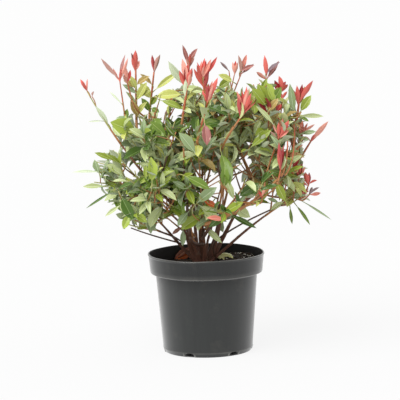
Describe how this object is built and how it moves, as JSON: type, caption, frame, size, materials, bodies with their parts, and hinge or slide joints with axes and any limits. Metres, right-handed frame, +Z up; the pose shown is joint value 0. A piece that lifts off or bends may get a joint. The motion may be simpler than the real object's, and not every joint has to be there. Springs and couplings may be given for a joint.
{
  "type": "potted photinia",
  "caption": "Young bushy evergreen shrub of many slender stems with oval leaves and red young shoot tips, growing in a round black nursery pot filled with soil.",
  "frame": {"origin": "middle of the flat underside of the pot", "axes": "+Z up along the pot's axis, -Y towards the viewer of the picture, +X to the viewer's right"},
  "size_m": [0.4252, 0.387, 0.4994],
  "materials": {
    "pot_plastic": "thin black moulded plastic with a dull sheen",
    "potting_soil": "dark moist bark and peat crumbs",
    "bark": "thin red-brown bark with fine cracks",
    "foliage": "leathery leaves with a soft gloss, red on the young shoots"
  },
  "bodies": {
    "root": {"pot": "pot_plastic", "potting_soil": "potting_soil", "stem_stool": "bark", "bough_crest": "bark", "bough_top_front": "bark", "bough_front": "bark", "bough_front_low": "bark", "bough_right_low": "bark", "bough_top_right": "bark", "bough_right_high": "bark", "bough_right_front": "bark", "bough_right": "bark", "bough_back_right_high": "bark", "bough_back_right": "bark", "bough_back_low": "bark", "bough_back_high": "bark", "bough_back": "bark", "bough_back_left_high": "bark", "bough_back_left": "bark", "bough_left": "bark", "bough_left_low": "bark", "bough_top_left": "bark", "bough_far_left": "bark", "bough_left_front": "bark", "bough_left_front_low": "bark", "foliage_crest": "foliage", "foliage_top_front": "foliage", "foliage_front": "foliage", "foliage_front_low": "foliage", "foliage_right_low": "foliage", "foliage_top_right": "foliage", "foliage_right_high": "foliage", "foliage_right_front": "foliage", "foliage_right": "foliage", "foliage_back_right_high": "foliage", "foliage_back_right": "foliage", "foliage_back_low": "foliage", "foliage_back_high": "foliage", "foliage_back": "foliage", "foliage_back_left_high": "foliage", "foliage_back_left": "foliage", "foliage_left": "foliage", "foliage_left_low": "foliage", "foliage_top_left": "foliage", "foliage_far_left": "foliage", "foliage_left_front": "foliage", "foliage_left_front_low": "foliage"}
  },
  "joints": []
}
